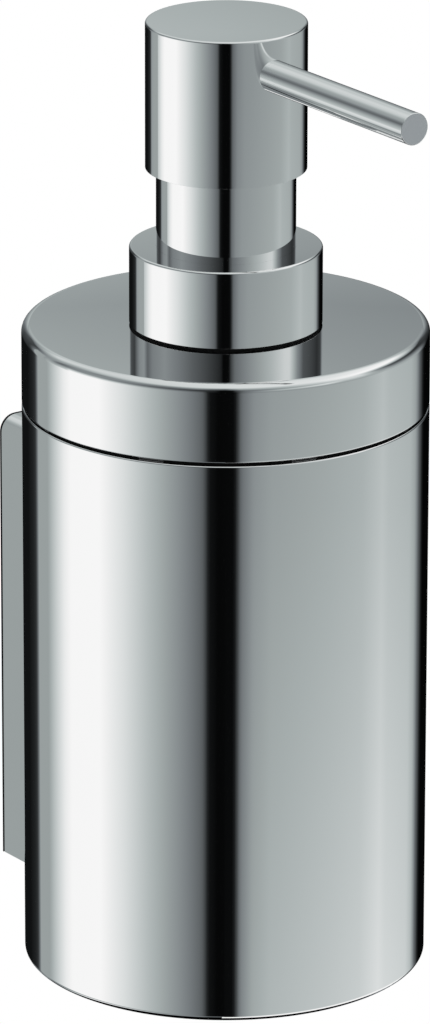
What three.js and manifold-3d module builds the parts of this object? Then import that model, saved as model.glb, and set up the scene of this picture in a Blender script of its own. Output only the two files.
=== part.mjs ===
// Wall-mounted lotion dispenser: a chrome sleeve on a wall bracket, with a lift-out
// container, a lift-off lid and a press pump whose spout swivels.
// Millimetres, +Z up, wall at Y = 0, front towards -Y, origin on the wall plate's back face.
import * as THREE from 'three';
import { mergeVertices } from 'three/addons/utils/BufferGeometryUtils.js';
import Module from 'manifold-3d';

const wasm = await Module();
wasm.setup();

// Outside sizes
const bodyRadius = 35;
const bodyHeight = 100.4;
const seamGap = 0.75;
const lidHeight = 13.6;
const lidEdgeRadius = 1.5;
const collarGap = 0.45;
const collarHeight = 13.45;
const headHeight = 25.55;
const spoutRadius = 2.75;
const spoutReach = 53.2;
const spoutDrop = 6.5;
const bodyToWall = 12.3;
const bracketWidth = 30;
const bracketHeight = 82;
const bracketLift = 6.1;
const bracketCornerRadius = 3;

// How far the head goes down, and what still shows of the guide sleeve then
const pressStroke = 12;
const pressRest = 1.9;
const guideShown = pressStroke + pressRest;

// Walls and small edges
const metalWall = 1.2;
const metalTop = 1.5;
const edgeRadius = 0.4;
const edgeChamfer = 0.3;
const plasticWall = 1.5;

// Clearances
const fitGap = 0.3;
const slideGap = 0.25;
const screwGap = 0.2;
const cutOverrun = 2;
const hexagon = 6;

// Facets round a full turn, and along a quarter of one
const facetsLarge = 48;
const facetsMedium = 32;
const facetsSmall = 16;
const facetsQuarter = 4;
const facetsTab = 2;

// Radii of the body
const sleeveInside = bodyRadius - metalWall;
const axisToWall = bodyRadius + bodyToWall;

// Radii from the pump's bore outwards: cylinder, cap, guide sleeve, neck, collar and head
const cylinderInside = 6.3;
const cylinderWall = 1.2;
const capWall = 1.9;
const capRoom = 1.35;
const guideWall = 1;
const guideRoom = 0.45;
const neckWall = 1.8;
const collarWall = 2.1;
const headOverhang = 1.85;
const cylinderRadius = cylinderInside + cylinderWall;
const capInside = cylinderRadius + screwGap;
const capRadius = capInside + capWall;
const guideInside = capRadius + capRoom;
const guideRadius = guideInside + guideWall;
const neckInside = guideRadius + guideRoom;
const neckRadius = neckInside + neckWall;
const neckHoleRadius = neckRadius + slideGap;
const collarRadius = neckHoleRadius + collarWall;
const headRadius = guideRadius + headOverhang;

// Levels above the underside of the body
const lidBottom = bodyHeight + seamGap;
const lidTop = lidBottom + lidHeight;
const collarBottom = lidTop + collarGap;
const collarTop = collarBottom + collarHeight;
const headBottom = collarTop + guideShown;
const headTop = headBottom + headHeight;
const spoutLevel = headTop - spoutDrop;
const bracketLevel = bracketLift + bracketHeight / 2;

// Finishes
function finish(color, roughness, metalness) {
  return new THREE.MeshStandardMaterial({ color, roughness, metalness });
}
const chrome = () => finish(0xc4c8ca, 0.06, 1);
const steel = () => finish(0xa4a6a8, 0.32, 1);
const rubber = () => finish(0x141416, 0.75, 0);
const greyPlastic = () => finish(0x6e7276, 0.5, 0);
const whitePlastic = () => finish(0xe6e8e8, 0.4, 0);
const clearPlastic = () => finish(0xdfe6e8, 0.35, 0);

// Solids from geometries and back
const mergeDistance = 1e-5;

function solidOf(geometry) {
  const bare = geometry.index ? geometry.toNonIndexed() : geometry.clone();
  bare.deleteAttribute('normal');
  bare.deleteAttribute('uv');
  const merged = mergeVertices(bare, mergeDistance);
  const index = merged.index.array;
  const kept = [];
  for (let i = 0; i < index.length; i += 3) {
    const [a, b, c] = [index[i], index[i + 1], index[i + 2]];
    if (a !== b && b !== c && c !== a) kept.push(a, b, c);
  }
  const solid = new wasm.Manifold(new wasm.Mesh({
    numProp: 3,
    vertProperties: merged.attributes.position.array,
    triVerts: new Uint32Array(kept),
  }));
  return solid.volume() < 0 ? solidOf(turnedOut(merged, kept)) : solid;
}

function turnedOut(merged, kept) {
  const flipped = new THREE.BufferGeometry();
  flipped.setAttribute('position', merged.attributes.position);
  const order = [];
  for (let i = 0; i < kept.length; i += 3) order.push(kept[i], kept[i + 2], kept[i + 1]);
  flipped.setIndex(order);
  return flipped;
}

function geometryOf(solid) {
  const mesh = solid.getMesh();
  const geometry = new THREE.BufferGeometry();
  const flat = new Float32Array(mesh.numVert * 3);
  for (let i = 0; i < mesh.numVert; i++) {
    for (let k = 0; k < 3; k++) flat[i * 3 + k] = mesh.vertProperties[i * mesh.numProp + k];
  }
  geometry.setAttribute('position', new THREE.BufferAttribute(flat, 3));
  geometry.setIndex([...mesh.triVerts]);
  geometry.computeVertexNormals();
  return geometry;
}

function cut(base, ...cutters) {
  return cutters.reduce((solid, cutter) => solid.subtract(cutter), base);
}

function joined(base, ...others) {
  return others.reduce((solid, other) => solid.add(other), base);
}

function piece(name, solid, material) {
  const mesh = new THREE.Mesh(geometryOf(solid), material);
  mesh.name = name;
  return mesh;
}

// A turned piece from a closed profile of [radius, level] points, about +Z
function turned(profile, facets) {
  const points = profile.map(([r, z]) => new THREE.Vector2(r, z));
  const first = points[0];
  const last = points[points.length - 1];
  if (first.x > 0 || last.x > 0) points.push(first.clone());
  const geometry = new THREE.LatheGeometry(points, facets);
  geometry.rotateX(Math.PI / 2);
  return solidOf(geometry);
}

function ring(inner, outer, low, high, facets) {
  return turned([[inner, low], [outer, low], [outer, high], [inner, high]], facets);
}

function disc(radius, low, high, facets) {
  return turned([[0, low], [radius, low], [radius, high], [0, high]], facets);
}

// Points of a quarter turn about a centre, for the rounded edge of a profile
function quarter(centreR, centreZ, radius, fromAngle) {
  const points = [];
  for (let i = 0; i <= facetsQuarter; i++) {
    const angle = fromAngle + (Math.PI / 2) * (i / facetsQuarter);
    points.push([centreR + radius * Math.cos(angle), centreZ + radius * Math.sin(angle)]);
  }
  return points;
}

// A straight round bar from one point to another
function bar(from, to, radius, facets) {
  const a = new THREE.Vector3(...from);
  const b = new THREE.Vector3(...to);
  const along = b.clone().sub(a);
  const geometry = new THREE.CylinderGeometry(radius, radius, along.length(), facets);
  geometry.rotateX(Math.PI / 2);
  const up = new THREE.Vector3(0, 0, 1);
  geometry.applyQuaternion(new THREE.Quaternion().setFromUnitVectors(up, along.clone().normalize()));
  const middle = a.add(b).multiplyScalar(1 / 2);
  geometry.translate(middle.x, middle.y, middle.z);
  return solidOf(geometry);
}

// Wall plate, screwed to the wall and hidden in the bracket housing
const bracketWall = 2;
const bracketFront = 2.2;
const nutThickness = 3.2;
const screwTail = 1;
const screwTailRoom = 1.6;
const housingCavityDepth = bodyToWall - fitGap - bracketFront;
const plateThickness = housingCavityDepth - nutThickness - screwTail - screwTailRoom;
const plateHoleRadius = 2.4;
const plateHoleSpacing = 34;
const plateSinkRadius = 4.2;
const lockScrewRadius = 1.5;
const lockScrewLength = 6;
const lockScrewRecess = 0.4;
const lockSocketRadius = 0.8;
const lockSocketDepth = 1.6;
const plateHeight = bracketHeight - 2 * (bracketWall + fitGap);
const plateWidth = bracketWidth - 2 * (bracketWall + fitGap);

// An upright board against the wall with its two top corners rounded
function board(width, height, cornerRadius, thickness) {
  const w = width / 2;
  const h = height / 2;
  const shape = new THREE.Shape();
  shape.moveTo(-w, -h);
  shape.lineTo(w, -h);
  shape.lineTo(w, h - cornerRadius);
  shape.absarc(w - cornerRadius, h - cornerRadius, cornerRadius, 0, Math.PI / 2);
  shape.absarc(-w + cornerRadius, h - cornerRadius, cornerRadius, Math.PI / 2, Math.PI);
  shape.closePath();
  const settings = { depth: thickness, bevelEnabled: false, curveSegments: facetsQuarter };
  const geometry = new THREE.ExtrudeGeometry(shape, settings);
  geometry.rotateX(Math.PI / 2);
  return solidOf(geometry);
}

function wallPlate() {
  const corner = bracketCornerRadius - bracketWall;
  const blank = board(plateWidth, plateHeight, corner, plateThickness);
  const holes = [];
  for (const side of [-1, 1]) {
    const z = side * plateHoleSpacing / 2;
    holes.push(bar([0, cutOverrun, z], [0, -plateThickness - cutOverrun, z], plateHoleRadius, facetsSmall));
    const sinkDepth = plateSinkRadius - plateHoleRadius;
    const sink = turned([
      [0, 0], [plateHoleRadius, 0], [plateSinkRadius + cutOverrun, sinkDepth + cutOverrun],
      [0, sinkDepth + cutOverrun],
    ], facetsSmall);
    holes.push(sink.rotate([90, 0, 0]).translate([0, -plateThickness + sinkDepth, z]));
  }
  const bottom = -plateHeight / 2;
  const notchTop = -bracketHeight / 2 + lockScrewRecess + lockScrewLength + fitGap;
  const notch = bar([0, -plateThickness / 2, bottom - cutOverrun], [0, -plateThickness / 2, notchTop],
    lockScrewRadius + screwGap, facetsSmall);
  return piece('wall_plate', cut(blank, ...holes, notch), steel());
}

function bracketLockScrew() {
  const bottom = -bracketHeight / 2 + lockScrewRecess;
  const shaft = disc(lockScrewRadius, bottom, bottom + lockScrewLength, facetsSmall);
  const socket = disc(lockSocketRadius, bottom - cutOverrun, bottom + lockSocketDepth, hexagon);
  const screw = cut(shaft, socket).translate([0, -plateThickness / 2, 0]);
  return piece('bracket_lock_screw', screw, steel());
}

// Bracket housing, a hollow block that slips over the wall plate and meets the round body
const sleeveScrewRadius = 2;
const sleeveScrewInset = 15;
const sleeveScrewSpacing = bracketHeight - 2 * sleeveScrewInset;
const sleeveScrewLevels = [-1, 1].map((side) => bracketLevel + side * sleeveScrewSpacing / 2);
const saddleRadius = bodyRadius + fitGap;

function bracketHousing() {
  const sideReach = Math.sqrt(saddleRadius ** 2 - (bracketWidth / 2) ** 2);
  const depth = axisToWall - sideReach + cutOverrun;
  const block = board(bracketWidth, bracketHeight, bracketCornerRadius, depth);
  const insideCorner = bracketCornerRadius - bracketWall;
  const cavity = board(bracketWidth - 2 * bracketWall, bracketHeight - 2 * bracketWall, insideCorner,
    housingCavityDepth + cutOverrun).translate([0, cutOverrun, 0]);
  const reach = bracketHeight / 2 + cutOverrun;
  const saddle = disc(saddleRadius, -reach, reach, facetsLarge).translate([0, -axisToWall, 0]);
  const cutters = [cavity, saddle];
  for (const level of sleeveScrewLevels) {
    const z = level - bracketLevel;
    cutters.push(bar([0, 0, z], [0, -axisToWall, z], sleeveScrewRadius + screwGap, facetsSmall));
  }
  cutters.push(bar([0, -plateThickness / 2, -reach], [0, -plateThickness / 2, 0],
    lockScrewRadius + screwGap, facetsSmall));
  return piece('bracket_housing', cut(block, ...cutters), chrome());
}

// Outer sleeve, the round chrome body with a closed bottom, and the pad inside it
const sleeveFloor = 1.5;
const padThickness = 1.5;
const padMargin = 4.8;
const padRadius = sleeveInside - padMargin;
const bottomEdgeRadius = 0.5;

function outerSleeve() {
  const profile = [
    [0, 0],
    ...quarter(bodyRadius - bottomEdgeRadius, bottomEdgeRadius, bottomEdgeRadius, -Math.PI / 2),
    [bodyRadius, bodyHeight - edgeChamfer],
    [bodyRadius - edgeChamfer, bodyHeight],
    [sleeveInside, bodyHeight],
    [sleeveInside, sleeveFloor],
    [0, sleeveFloor],
  ];
  const holes = sleeveScrewLevels.map((z) =>
    bar([0, 0, z], [0, bodyRadius + cutOverrun, z], sleeveScrewRadius + screwGap, facetsSmall));
  return piece('outer_sleeve', cut(turned(profile, facetsLarge), ...holes), chrome());
}

function basePad() {
  return piece('base_pad', disc(padRadius, sleeveFloor, sleeveFloor + padThickness, facetsMedium), rubber());
}

// Two screws from inside the sleeve hold it to the bracket, each with a saddle washer and a nut
const washerRadius = 4.4;
const washerThickness = 1.2;
const screwHeadRadius = 3.5;
const screwHeadHeight = 1.9;
const screwSocketRadius = 1.45;
const screwSocketDepth = 1.2;
const nutRadius = 4.04;
const washerFace = sleeveInside - fitGap - washerThickness;
const nutFace = axisToWall - housingCavityDepth;

function sleeveWasher(name, level) {
  const reach = sleeveInside + cutOverrun;
  const blank = bar([0, washerFace, level], [0, reach, level], washerRadius, facetsSmall);
  const hole = bar([0, 0, level], [0, reach, level], sleeveScrewRadius + screwGap, facetsSmall);
  const inside = disc(sleeveInside - fitGap, level - washerRadius, level + washerRadius, facetsLarge);
  return piece(name, cut(blank.intersect(inside), hole), steel());
}

function sleeveScrew(name, level) {
  const headTopFace = washerFace - screwHeadHeight;
  const tail = nutFace + nutThickness + screwTail;
  const head = bar([0, headTopFace, level], [0, washerFace, level], screwHeadRadius, facetsSmall);
  const shaft = bar([0, washerFace - screwHeadHeight / 2, level], [0, tail, level],
    sleeveScrewRadius, facetsSmall);
  const socket = bar([0, 0, level], [0, headTopFace + screwSocketDepth, level], screwSocketRadius, hexagon);
  return piece(name, cut(joined(head, shaft), socket), steel());
}

function sleeveNut(name, level) {
  const hex = bar([0, nutFace, level], [0, nutFace + nutThickness, level], nutRadius, hexagon);
  const hole = bar([0, 0, level], [0, axisToWall, level], sleeveScrewRadius + screwGap, facetsSmall);
  return piece(name, cut(hex, hole), steel());
}

// Container cup, the plastic vessel that holds the lotion and lifts out to be refilled
const cupClearance = 0.4;
const cupRadius = washerFace - screwHeadHeight - cupClearance;
const cupBottom = sleeveFloor + padThickness;
const cupFlangeRadius = sleeveInside - cupClearance;
const cupFlangeThickness = 1.5;
const sealThickness = 0.5;
const cupTop = bodyHeight - sealThickness;
const cupInside = cupRadius - plasticWall;

function containerCup() {
  const profile = [
    [0, cupBottom],
    [cupInside, cupBottom],
    [cupRadius, cupBottom + plasticWall],
    [cupRadius, cupTop - cupFlangeThickness],
    [cupFlangeRadius, cupTop - cupFlangeThickness],
    [cupFlangeRadius, cupTop],
    [cupInside, cupTop],
    [cupInside, cupBottom + 2 * plasticWall],
    [cupInside - plasticWall, cupBottom + plasticWall],
    [0, cupBottom + plasticWall],
  ];
  return piece('container_cup', turned(profile, facetsLarge), clearPlastic());
}

// Lid, a chrome cap over a plastic liner that stands on the sleeve by its spacer tabs
const linerRadius = sleeveInside - fitGap;
const linerWall = 1.6;
const sealLand = 1;
const sealWidth = 3;
const linerFootInside = cupInside + sealLand;
const linerFootHeight = 1.5;
const tabCount = 8;
const tabInset = 0.3;
const tabReach = bodyRadius - tabInset;
const tabAngle = THREE.MathUtils.degToRad(8.5);
const tabTurn = THREE.MathUtils.degToRad(-12.1);
const linerTop = lidTop - metalTop;
const sealOutside = linerFootInside + sealWidth;

function lid() {
  const profile = [
    [bodyRadius - edgeChamfer, lidBottom],
    [bodyRadius, lidBottom + edgeChamfer],
    ...quarter(bodyRadius - lidEdgeRadius, lidTop - lidEdgeRadius, lidEdgeRadius, 0),
    [neckHoleRadius, lidTop],
    [neckHoleRadius, linerTop],
    [sleeveInside, linerTop],
    [sleeveInside, lidBottom],
  ];
  return piece('lid', turned(profile, facetsLarge), chrome());
}

function linerTab(index) {
  const middle = -Math.PI / 2 + tabTurn + index * 2 * Math.PI / tabCount;
  const inner = linerRadius - linerWall / 2;
  const shape = new THREE.Shape();
  shape.absarc(0, 0, tabReach, middle - tabAngle / 2, middle + tabAngle / 2, false);
  shape.absarc(0, 0, inner, middle + tabAngle / 2, middle - tabAngle / 2, true);
  shape.closePath();
  const settings = { depth: seamGap, bevelEnabled: false, curveSegments: facetsTab };
  const geometry = new THREE.ExtrudeGeometry(shape, settings);
  geometry.translate(0, 0, bodyHeight);
  return solidOf(geometry);
}

function lidLiner() {
  const profile = [
    [linerFootInside, bodyHeight],
    [linerRadius, bodyHeight],
    [linerRadius, linerTop],
    [neckHoleRadius, linerTop],
    [neckHoleRadius, linerTop - linerWall],
    [linerRadius - linerWall, linerTop - linerWall],
    [linerRadius - linerWall, bodyHeight + linerFootHeight],
    [linerFootInside, bodyHeight + linerFootHeight],
  ];
  const tabs = [];
  for (let i = 0; i < tabCount; i++) tabs.push(linerTab(i));
  return piece('lid_liner', joined(turned(profile, facetsLarge), ...tabs), greyPlastic());
}

function lidSeal() {
  return piece('lid_seal', ring(linerFootInside, sealOutside, cupTop, bodyHeight, facetsMedium), rubber());
}

// Collar, screwed down on the pump's neck so that it clamps the lid, on a thin black gasket
const collarTopWall = 2;
const gasketInset = 0.5;
const guideBoreRadius = guideRadius + slideGap;

function collar() {
  const profile = [
    [collarRadius - edgeRadius / 2, collarBottom],
    [collarRadius, collarBottom + edgeRadius / 2],
    ...quarter(collarRadius - edgeRadius, collarTop - edgeRadius, edgeRadius, 0),
    [guideBoreRadius + edgeRadius / 2, collarTop],
    [guideBoreRadius, collarTop - edgeRadius / 2],
    [guideBoreRadius, collarTop - collarTopWall],
    [neckHoleRadius, collarTop - collarTopWall],
    [neckHoleRadius, collarBottom],
  ];
  return piece('collar', turned(profile, facetsLarge), chrome());
}

function collarGasket() {
  const gasket = ring(neckHoleRadius, collarRadius - gasketInset, lidTop, collarBottom, facetsLarge);
  return piece('collar_gasket', gasket, rubber());
}

// Pump housing, one moulding: flange, neck for the collar, floor, cylinder and tube socket
const pumpGasketThickness = 1;
const pumpFlangeLedge = 2.8;
const pumpFlangeRadius = neckRadius + pumpFlangeLedge;
const pumpFlangeThickness = 2.5;
const pumpFlangeTop = linerTop - linerWall - pumpGasketThickness;
const pumpFlangeBottom = pumpFlangeTop - pumpFlangeThickness;
const neckTop = collarTop - collarTopWall - fitGap;
const pumpFloorTop = pumpFlangeTop - fitGap;
const cylinderRise = 3.7;
const cylinderTop = pumpFloorTop + cylinderRise;
const capTopWall = 3;
const capUnder = cylinderTop + screwGap;
const stemSealHeight = 2;
const pistonHeight = 8;
const springClosed = 10;
const springLength = springClosed + pressStroke;
const cageThickness = 1.2;
const ballRadius = 2;
const ballRoomRadius = 3.2;
const ballRoomHeight = 4;
const throatRadius = 1.3;
const throatLength = 1.5;
const tubeRadius = 3;
const tubeWall = 0.9;
const socketDepth = 8.6;
const socketWall = 1.3;
const socketInside = tubeRadius + screwGap;
const pistonTop = capUnder - stemSealHeight - fitGap;
const pistonBottom = pistonTop - pistonHeight;
const cageTop = pistonBottom - springLength;
const cageBottom = cageTop - cageThickness;
const coneTop = cageBottom - ballRoomHeight;
const coneBottom = coneTop - (ballRoomRadius - throatRadius);
const socketTop = coneBottom - throatLength;
const socketBottom = socketTop - socketDepth;

function pumpHousing() {
  const socketOutside = socketInside + socketWall;
  const profile = [
    [pumpFlangeRadius, pumpFlangeBottom],
    [pumpFlangeRadius, pumpFlangeTop],
    [neckRadius, pumpFlangeTop],
    [neckRadius, neckTop],
    [neckInside, neckTop],
    [neckInside, pumpFloorTop],
    [cylinderRadius, pumpFloorTop],
    [cylinderRadius, cylinderTop],
    [cylinderInside, cylinderTop],
    [cylinderInside, cageBottom],
    [ballRoomRadius, cageBottom],
    [ballRoomRadius, coneTop],
    [throatRadius, coneBottom],
    [throatRadius, socketTop],
    [socketInside, socketTop],
    [socketInside, socketBottom],
    [socketOutside, socketBottom],
    [socketOutside, coneBottom],
    [cylinderRadius, coneBottom + cylinderRadius - socketOutside],
    [cylinderRadius, pumpFlangeBottom],
  ];
  return piece('pump_housing', turned(profile, facetsMedium), whitePlastic());
}

function pumpGasket() {
  const gasket = ring(neckHoleRadius, pumpFlangeRadius, pumpFlangeTop, linerTop - linerWall, facetsMedium);
  return piece('pump_gasket', gasket, rubber());
}

// Pump cap, which closes the cylinder round the stem, and the seal under it
const stemRadius = 3.6;
const stemBore = 1.4;
const stemHoleRadius = stemRadius + slideGap;

function pumpCap() {
  const profile = [
    [capInside, pumpFloorTop + screwGap],
    [capRadius, pumpFloorTop + screwGap],
    [capRadius, capUnder + capTopWall],
    [stemHoleRadius, capUnder + capTopWall],
    [stemHoleRadius, capUnder],
    [capInside, capUnder],
  ];
  return piece('pump_cap', turned(profile, facetsMedium), whitePlastic());
}

function stemSeal() {
  const outside = cylinderInside - screwGap;
  const seal = ring(stemHoleRadius, outside, capUnder - stemSealHeight, capUnder, facetsMedium);
  return piece('stem_seal', seal, rubber());
}

// Inlet valve: a steel ball on its cone, under a cage that also carries the spring
const cageHoleCount = 4;
const cageHoleRadius = 0.9;
const cageHolePlace = 2.1;
const ballLift = 0.1;

function inletBall() {
  const ball = new THREE.SphereGeometry(ballRadius, facetsSmall, facetsSmall / 2);
  ball.translate(0, 0, coneBottom - throatRadius + ballRadius * Math.SQRT2 + ballLift);
  return piece('inlet_ball', solidOf(ball), steel());
}

function ballCage() {
  const plate = disc(cylinderInside - screwGap, cageBottom, cageTop, facetsMedium);
  const holes = [];
  for (let i = 0; i < cageHoleCount; i++) {
    const angle = i * 2 * Math.PI / cageHoleCount;
    const x = cageHolePlace * Math.cos(angle);
    const y = cageHolePlace * Math.sin(angle);
    holes.push(bar([x, y, cageBottom - cutOverrun], [x, y, cageTop + cutOverrun],
      cageHoleRadius, facetsSmall / 2));
  }
  return piece('ball_cage', cut(plate, ...holes), whitePlastic());
}

// Dip tube, cut at a slant just above the bottom of the cup
const tubeFootGap = 3;
const tubeSlantBlock = 24;

function dipTube() {
  const low = cupBottom + plasticWall + tubeFootGap;
  const high = socketTop - fitGap;
  const tube = ring(tubeRadius - tubeWall, tubeRadius, low, high, facetsSmall);
  const slant = new THREE.BoxGeometry(tubeSlantBlock, tubeSlantBlock, tubeSlantBlock);
  slant.translate(0, 0, -tubeSlantBlock / 2);
  slant.rotateX(Math.PI / 4);
  slant.translate(0, 0, low + tubeRadius);
  return piece('dip_tube', cut(tube, solidOf(slant)), clearPlastic());
}

// Return spring, a helix of round wire between the cage and the piston
const springWire = 0.45;
const springPlay = 0.95;
const springRadius = cylinderInside - springWire - springPlay;
const springTurns = 9;
const springSteps = 12;
const springSides = 5;

class Helix extends THREE.Curve {
  getPoint(t, target = new THREE.Vector3()) {
    const angle = t * springTurns * 2 * Math.PI;
    const low = cageTop + springWire + slideGap / 2;
    const high = pistonBottom - springWire - slideGap / 2;
    return target.set(springRadius * Math.cos(angle), springRadius * Math.sin(angle), low + (high - low) * t);
  }
}

function returnSpring() {
  const helix = new Helix();
  const count = springTurns * springSteps;
  const points = [];
  const faces = [];
  for (let i = 0; i <= count; i++) {
    const t = i / count;
    const centre = helix.getPoint(t);
    const along = helix.getTangent(t);
    const outward = new THREE.Vector3(centre.x, centre.y, 0).normalize();
    const across = new THREE.Vector3().crossVectors(along, outward).normalize();
    for (let k = 0; k < springSides; k++) {
      const angle = k * 2 * Math.PI / springSides;
      const spot = centre.clone()
        .addScaledVector(outward, springWire * Math.cos(angle))
        .addScaledVector(across, springWire * Math.sin(angle));
      points.push(spot.x, spot.y, spot.z);
    }
  }
  for (let i = 0; i < count; i++) {
    for (let k = 0; k < springSides; k++) {
      const a = i * springSides + k;
      const b = i * springSides + (k + 1) % springSides;
      faces.push(a, b, b + springSides, a, b + springSides, a + springSides);
    }
  }
  const end = count * springSides;
  for (let k = 1; k < springSides - 1; k++) {
    faces.push(0, k + 1, k);
    faces.push(end, end + k, end + k + 1);
  }
  const geometry = new THREE.BufferGeometry();
  geometry.setAttribute('position', new THREE.Float32BufferAttribute(points, 3));
  geometry.setIndex(faces);
  return piece('return_spring', solidOf(geometry), steel());
}

// Piston, a grooved sleeve on the foot of the stem
const pistonRadius = cylinderInside - slideGap;
const pistonGroove = 0.75;
const pistonWaistRadius = pistonRadius - pistonGroove;
const pistonLip = 1.8;
const stemNeckRadius = 2.45;
const pistonBore = stemNeckRadius + slideGap;

function piston() {
  const profile = [
    [pistonBore, pistonBottom],
    [pistonRadius, pistonBottom],
    [pistonRadius, pistonBottom + pistonLip],
    [pistonWaistRadius, pistonBottom + 2 * pistonLip],
    [pistonWaistRadius, pistonTop - 2 * pistonLip],
    [pistonRadius, pistonTop - pistonLip],
    [pistonRadius, pistonTop],
    [pistonBore, pistonTop],
  ];
  return piece('piston', turned(profile, facetsMedium), greyPlastic());
}

// Stem, the hollow rod that carries the head, with a foot under the piston
const stemFootPlay = 0.65;
const stemFootRadius = springRadius - springWire - stemFootPlay;
const stemFootHeight = 1.7;
const headInsertShoulder = 6.45;
const stemSeat = 1;
const guideTopLevel = headBottom + headInsertShoulder;
const stemTop = guideTopLevel + stemSeat;
const outletBallRadius = 1.7;
const outletPocketRadius = 2.2;
const outletPocketDepth = 4.6;

function stem() {
  const footTop = pistonBottom - screwGap;
  const shoulder = pistonTop + screwGap;
  const pocketBottom = stemTop - outletPocketDepth;
  const profile = [
    [stemBore, footTop - stemFootHeight],
    [stemFootRadius, footTop - stemFootHeight],
    [stemFootRadius, footTop],
    [stemNeckRadius, footTop],
    [stemNeckRadius, shoulder],
    [stemRadius, shoulder],
    [stemRadius, stemTop],
    [outletPocketRadius, stemTop],
    [outletPocketRadius, pocketBottom + outletPocketRadius - stemBore],
    [stemBore, pocketBottom],
  ];
  return piece('stem', turned(profile, facetsMedium), whitePlastic());
}

function outletBall() {
  const ball = new THREE.SphereGeometry(outletBallRadius, facetsSmall, facetsSmall / 2);
  const pocketBottom = stemTop - outletPocketDepth;
  ball.translate(0, 0, pocketBottom - stemBore + outletBallRadius * Math.SQRT2 + ballLift);
  return piece('outlet_ball', solidOf(ball), steel());
}

// Head: chrome cap, plastic insert with the channel, chrome guide sleeve and spout
const headWall = 1;
const headTopWall = 1.6;
const headLip = 1.5;
const headInside = headRadius - headWall;
const insertRadius = headInside - fitGap;
const insertSpigot = 10;
const guideEngaged = collarTop - pressStroke - fitGap - pumpFloorTop;
const spoutWall = 1;
const spoutRoot = 3.3;
const spoutEndWall = 1.7;
const outletRadius = 1.35;
const outletInset = 4.2;
const channelRadius = 1.8;
const oRingSection = 0.55;
const oRingInset = 1.5;
const counterboreDepth = 3;
const counterboreRadius = spoutRadius + 2 * oRingSection + slideGap;

function headCap() {
  const profile = [
    [0, headTop - headTopWall],
    [headInside, headTop - headTopWall],
    [headInside, headBottom + headLip],
    [guideRadius + screwGap, headBottom + headLip],
    [guideRadius + screwGap, headBottom],
    [headRadius - edgeRadius / 2, headBottom],
    [headRadius, headBottom + edgeRadius / 2],
    ...quarter(headRadius - edgeRadius, headTop - edgeRadius, edgeRadius, 0),
    [0, headTop],
  ];
  const hole = bar([0, 0, spoutLevel], [0, -headRadius - cutOverrun, spoutLevel],
    spoutRadius + screwGap, facetsMedium);
  return piece('head_cap', cut(turned(profile, facetsLarge), hole), chrome());
}

function headInsert() {
  const spigotBottom = guideTopLevel - insertSpigot;
  const top = headTop - headTopWall - fitGap;
  const spigotRadius = guideInside - slideGap;
  const blank = turned([
    [0, spigotBottom], [spigotRadius, spigotBottom], [spigotRadius, guideTopLevel],
    [insertRadius, guideTopLevel], [insertRadius, top], [0, top],
  ], facetsMedium);
  const stemHole = disc(stemRadius + screwGap, spigotBottom - cutOverrun, stemTop + screwGap, facetsMedium);
  const riser = disc(channelRadius, stemTop, spoutLevel + channelRadius, facetsSmall);
  const passage = bar([0, 0, spoutLevel], [0, -insertRadius - cutOverrun, spoutLevel],
    channelRadius, facetsSmall);
  const spoutHole = bar([0, -spoutRoot + fitGap, spoutLevel], [0, -insertRadius - cutOverrun, spoutLevel],
    spoutRadius + screwGap, facetsMedium);
  const counterbore = bar([0, -insertRadius + counterboreDepth, spoutLevel],
    [0, -insertRadius - cutOverrun, spoutLevel], counterboreRadius, facetsMedium);
  const insert = cut(blank, stemHole, riser, passage, spoutHole, counterbore);
  return piece('head_insert', insert, whitePlastic());
}

function guideSleeve() {
  const low = collarTop - guideEngaged;
  return piece('guide_sleeve', ring(guideInside, guideRadius, low, guideTopLevel, facetsLarge), chrome());
}

function spoutTube() {
  const rod = bar([0, -spoutRoot, spoutLevel], [0, -spoutReach, spoutLevel], spoutRadius, facetsMedium);
  const bore = bar([0, 0, spoutLevel], [0, -spoutReach + spoutEndWall, spoutLevel],
    spoutRadius - spoutWall, facetsSmall);
  const outletPlace = -spoutReach + outletInset;
  const outlet = bar([0, outletPlace, spoutLevel], [0, outletPlace, spoutLevel - spoutRadius - cutOverrun],
    outletRadius, facetsSmall);
  return piece('spout_tube', cut(rod, bore, outlet), chrome());
}

function spoutORing() {
  const meanRadius = spoutRadius + oRingSection + slideGap / 2;
  const torus = new THREE.TorusGeometry(meanRadius, oRingSection, facetsSmall / 2, facetsMedium);
  torus.rotateX(Math.PI / 2);
  torus.translate(0, -insertRadius + oRingInset, spoutLevel);
  return piece('spout_o_ring', solidOf(torus), rubber());
}

// The dispenser, wall side first
const wallSide = new THREE.Group();
wallSide.add(wallPlate(), bracketHousing(), bracketLockScrew());

const fixedBody = new THREE.Group();
fixedBody.add(outerSleeve(), basePad());
['lower', 'upper'].forEach((place, i) => {
  const level = sleeveScrewLevels[i];
  fixedBody.add(sleeveScrew(`sleeve_screw_${place}`, level), sleeveWasher(`sleeve_washer_${place}`, level),
    sleeveNut(`sleeve_nut_${place}`, level));
});

const lidUnit = new THREE.Group();
lidUnit.add(lid(), lidLiner(), lidSeal(), collar(), collarGasket(), pumpHousing(), pumpGasket(), pumpCap(),
  stemSeal(), inletBall(), ballCage(), dipTube(), returnSpring());

const headUnit = new THREE.Group();
headUnit.add(piston(), stem(), outletBall(), headCap(), headInsert(), guideSleeve(), spoutTube(),
  spoutORing());

const aboutAxis = new THREE.Group();
aboutAxis.position.set(0, -axisToWall, -bracketLevel);
aboutAxis.add(fixedBody, containerCup(), lidUnit, headUnit);

const group = new THREE.Group();
group.add(wallSide, aboutAxis);
export default group;
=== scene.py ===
"""Wall-mounted lotion dispenser: a round chrome body on a wall bracket, a container that lifts out,
a lid that lifts off and a press pump with a swivelling spout. Metres, +Z up, the wall at Y = 0."""
import math

import bmesh
import bpy
from mathutils import Matrix, Vector


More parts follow.
